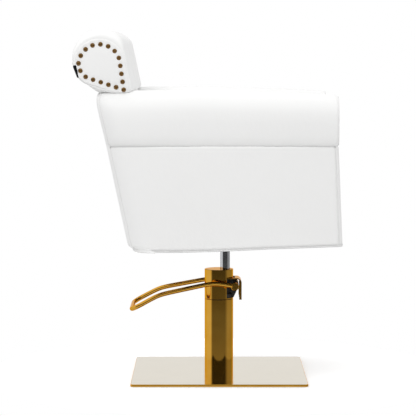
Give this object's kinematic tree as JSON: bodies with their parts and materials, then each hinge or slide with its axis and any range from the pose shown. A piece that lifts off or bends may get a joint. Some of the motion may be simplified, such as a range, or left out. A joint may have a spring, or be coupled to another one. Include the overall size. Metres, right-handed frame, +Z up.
{
  "type": "styling chair",
  "caption": "Padded tub-shaped salon chair with a nail-trimmed scroll-top back, on a square plate and hydraulic pump column with a foot lever.",
  "frame": {"origin": "centre of the base's underside on the floor, on the column's axis", "axes": "+Z up; the chair faces -Y, so +Y is its rear; +X is the sitter's left"},
  "size_m": [0.626, 0.6763, 0.911],
  "materials": {
    "white_leather": "satin",
    "polished_gold": "polished",
    "chrome_steel": "polished",
    "bright_steel": "satin",
    "dark_steel": "satin",
    "cast_pump_head": "satin",
    "plywood": "matte",
    "black_rubber": "matte",
    "black_gloss": "gloss",
    "antique_brass": "satin",
    "dust_cloth": "matte"
  },
  "bodies": {
    "base": {"base_mat": "black_rubber", "base_plate": "dark_steel", "base_cover": "polished_gold", "base_bolts": "bright_steel", "column_sleeve": "polished_gold", "reservoir_tube": "dark_steel", "cylinder_foot": "bright_steel", "inner_cylinder": "bright_steel", "pump_head": "cast_pump_head", "rod_seal": "black_rubber", "head_collar": "polished_gold", "collar_screw": "dark_steel", "lever_guard": "polished_gold", "guard_screws": "bright_steel", "plunger_spring": "bright_steel"},
    "lever": {"lever_loop": "polished_gold", "rocker_shaft": "bright_steel", "rocker_arm": "bright_steel", "lever_bolts": "polished_gold"},
    "plunger": {"plunger": "bright_steel"},
    "lift": {"piston": "bright_steel", "piston_seal": "black_rubber"},
    "chair": {"piston_rod": "chrome_steel", "rod_nut": "dark_steel", "seat_bracket": "dark_steel", "bracket_bolts": "bright_steel", "tee_nuts": "bright_steel", "dust_cover": "dust_cloth", "seat_board": "plywood", "seat_rails": "plywood", "corner_blocks": "plywood", "seat_deck": "plywood", "seat_cushion": "white_leather", "seat_front_panel": "white_leather", "arm_bolts": "bright_steel", "arm_frame_left": "plywood", "arm_frame_right": "plywood", "side_panel_left": "white_leather", "side_panel_right": "white_leather", "front_panel_left": "white_leather", "front_panel_right": "white_leather", "inner_arm_pad_left": "white_leather", "inner_arm_pad_right": "white_leather", "arm_roll_left": "white_leather", "arm_roll_right": "white_leather", "back_frame": "plywood", "back_pad": "white_leather", "outer_back_panel": "white_leather", "back_roll": "white_leather", "roll_board_left": "plywood", "roll_board_right": "plywood", "end_cap_left": "white_leather", "end_cap_right": "white_leather", "end_cap_nails_left": "antique_brass", "end_cap_nails_right": "antique_brass", "rear_handle": "black_gloss", "handle_screws": "dark_steel"}
  },
  "joints": [
    {"name": "lift_slide", "type": "slide", "parent": "base", "child": "lift", "axis": [0, 0, 1], "range_m": [0, 0.13]},
    {"name": "seat_swivel", "type": "hinge", "parent": "lift", "child": "chair", "pos_m": [0, -0.0164, 0.2], "axis": [0, 0, 1], "continuous": true},
    {"name": "lever_pivot", "type": "hinge", "parent": "base", "child": "lever", "pos_m": [0, -0.0418, 0.2372], "axis": [1, 0, 0], "range_deg": [-20, 10], "stiffness_Nm_per_rad": 12},
    {"name": "plunger_slide", "type": "slide", "parent": "base", "child": "plunger", "axis": [0, 0, 1], "range_m": [-0.0133, 0.0068], "deforming": ["plunger_spring"]}
  ],
  "couplings": [
    {"joint": "plunger_slide", "follows": "lever_pivot", "m_per_rad": 0.0368}
  ]
}
